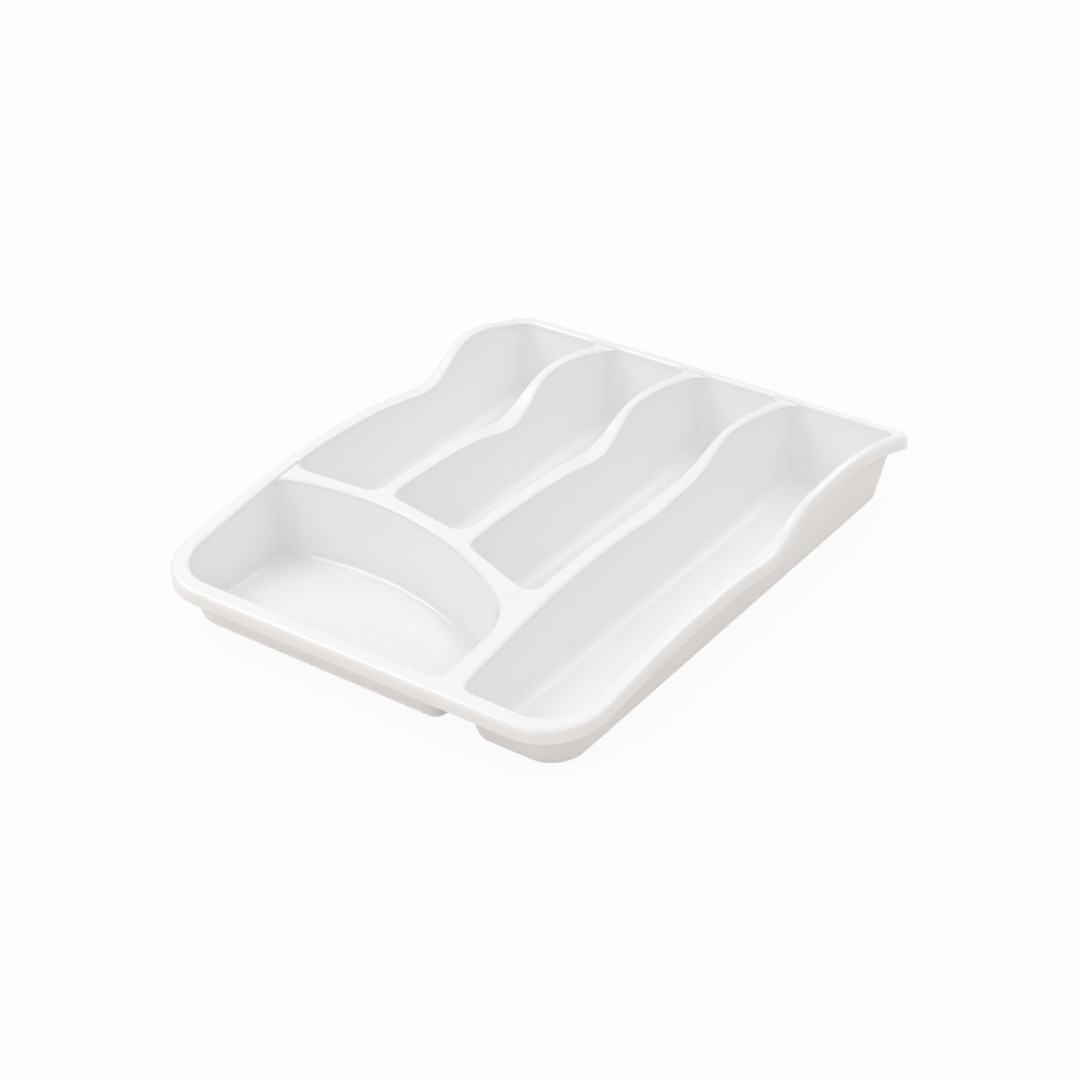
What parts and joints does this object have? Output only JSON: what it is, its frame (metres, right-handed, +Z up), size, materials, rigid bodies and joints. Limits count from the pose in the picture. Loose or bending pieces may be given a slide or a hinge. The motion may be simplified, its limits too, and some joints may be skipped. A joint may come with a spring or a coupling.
{
  "type": "cutlery tray",
  "caption": "Drawer tray for cutlery in moulded white plastic, with a wavy deck, a D-shaped front well, long wells behind it and a full-length side well.",
  "frame": {"origin": "under the middle of the tray, on the plane of the wells' undersides that it stands on", "axes": "+X across the tray to the side well, +Y along it from the D-shaped front well to the rear, +Z up out of the wells"},
  "size_m": [0.3, 0.37, 0.064],
  "materials": {
    "moulding": "satin white polypropylene"
  },
  "bodies": {
    "root": {"rim": "moulding", "cross_bridge": "moulding", "divider_1": "moulding", "divider_2": "moulding", "divider_3": "moulding", "front_well": "moulding", "long_well_1": "moulding", "long_well_2": "moulding", "long_well_3": "moulding", "side_well": "moulding"}
  },
  "joints": []
}
